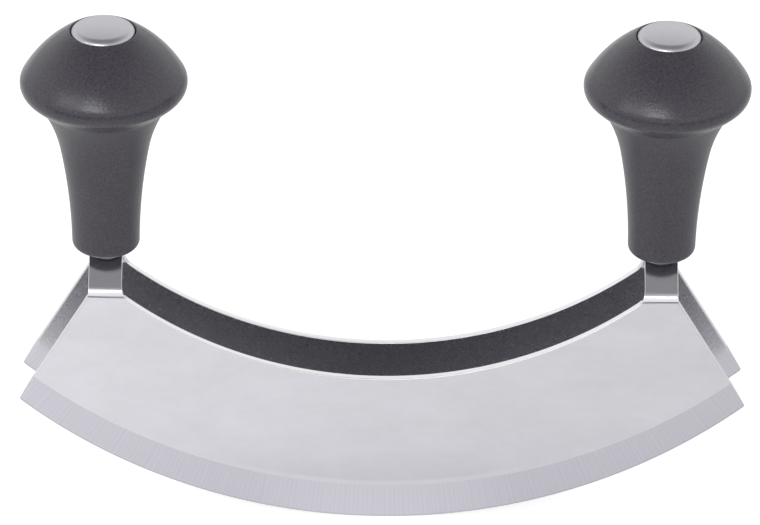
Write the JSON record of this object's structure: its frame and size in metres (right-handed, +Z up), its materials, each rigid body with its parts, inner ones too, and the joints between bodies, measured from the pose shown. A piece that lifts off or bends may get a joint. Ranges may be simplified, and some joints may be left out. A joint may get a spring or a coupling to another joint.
{
  "type": "mezzaluna",
  "caption": "Rocking kitchen chopper: parallel crescent blades with ground edges, their cranked tangs meeting under upright knob handles with domed steel caps.",
  "frame": {"origin": "midway between the lowest points of the two cutting edges, on the board that they stand on", "axes": "+X along the blades to the right handle, +Y from the front blade to the rear blade, +Z up to the knobs"},
  "size_m": [0.18, 0.0406, 0.1327],
  "materials": {
    "blade_steel": "satin polished stainless sheet, ground bevels with fine lines across the edge",
    "handle_plastic": "matt black moulded plastic with a fine grain",
    "cap_steel": "satin stainless cap with a polished rounded edge",
    "fixing_steel": "black-oxide steel, hidden inside the handles but for the forks' ends, which lie flush with the feet"
  },
  "bodies": {
    "root": {"front_blade": "blade_steel", "rear_blade": "blade_steel", "left_handle": "handle_plastic", "right_handle": "handle_plastic", "left_cap": "cap_steel", "right_cap": "cap_steel", "left_tang_stud": "fixing_steel", "right_tang_stud": "fixing_steel", "left_tang_rivets": "fixing_steel", "right_tang_rivets": "fixing_steel", "left_washer": "fixing_steel", "right_washer": "fixing_steel", "left_nut": "fixing_steel", "right_nut": "fixing_steel"}
  },
  "joints": []
}
